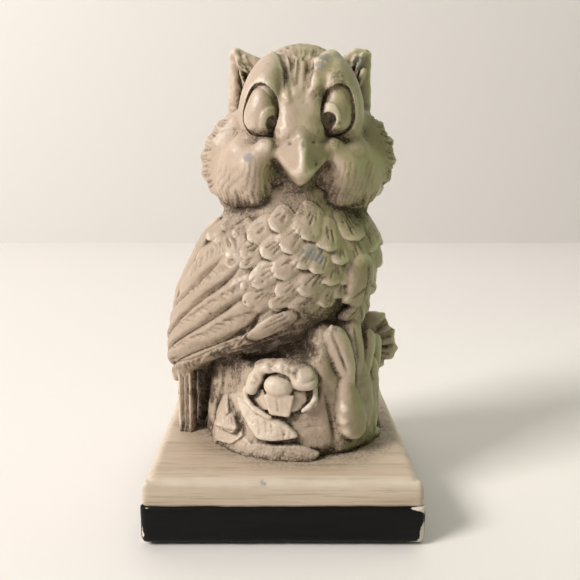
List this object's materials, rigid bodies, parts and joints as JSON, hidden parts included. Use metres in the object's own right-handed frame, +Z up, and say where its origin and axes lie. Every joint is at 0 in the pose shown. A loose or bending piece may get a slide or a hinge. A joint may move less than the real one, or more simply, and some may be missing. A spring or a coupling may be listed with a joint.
{
  "type": "owl figurine",
  "caption": "Seated cast owl on a carved stump with a rose and leaves, on a square two-tier plinth; a free-standing shelf ornament.",
  "frame": {"origin": "centre of the felt pad's underside, the face that the figurine rests on", "axes": "+Z up, the owl faces -Y, its right wing and tail are at -X"},
  "size_m": [0.0716, 0.0716, 0.1258],
  "materials": {
    "antiqued_cast": "cream cast with a brown antiquing wash in the recesses and a satin varnish",
    "wood_grain_cast": "cream cast with fine wood grain lines and a thin brown wash, satin",
    "black_paint": "satin black paint over the cast, chipped to off-white at the lower edges",
    "felt": "dark green felt",
    "screw_steel": "plain zinc-plated steel"
  },
  "bodies": {
    "root": {"felt_pad": "felt", "plinth_block": "black_paint", "plinth_slab": "wood_grain_cast", "fixing_screw": "screw_steel", "stump": "antiqued_cast", "rose_petals": "antiqued_cast", "rose_bud": "antiqued_cast", "rose_leaf": "antiqued_cast", "foot_leaves": "antiqued_cast", "leaf_spray": "antiqued_cast", "hanging_leaf": "antiqued_cast", "pointed_bud": "antiqued_cast", "side_leaf": "antiqued_cast", "body": "antiqued_cast", "breast_feathers": "antiqued_cast", "right_wing": "antiqued_cast", "left_wing": "antiqued_cast", "tail_feathers": "antiqued_cast", "head": "antiqued_cast", "beak": "antiqued_cast", "right_eye": "antiqued_cast", "left_eye": "antiqued_cast", "right_ear_tuft": "antiqued_cast", "left_ear_tuft": "antiqued_cast", "right_ruff": "antiqued_cast", "left_ruff": "antiqued_cast", "crown_feathers": "antiqued_cast"}
  },
  "joints": []
}
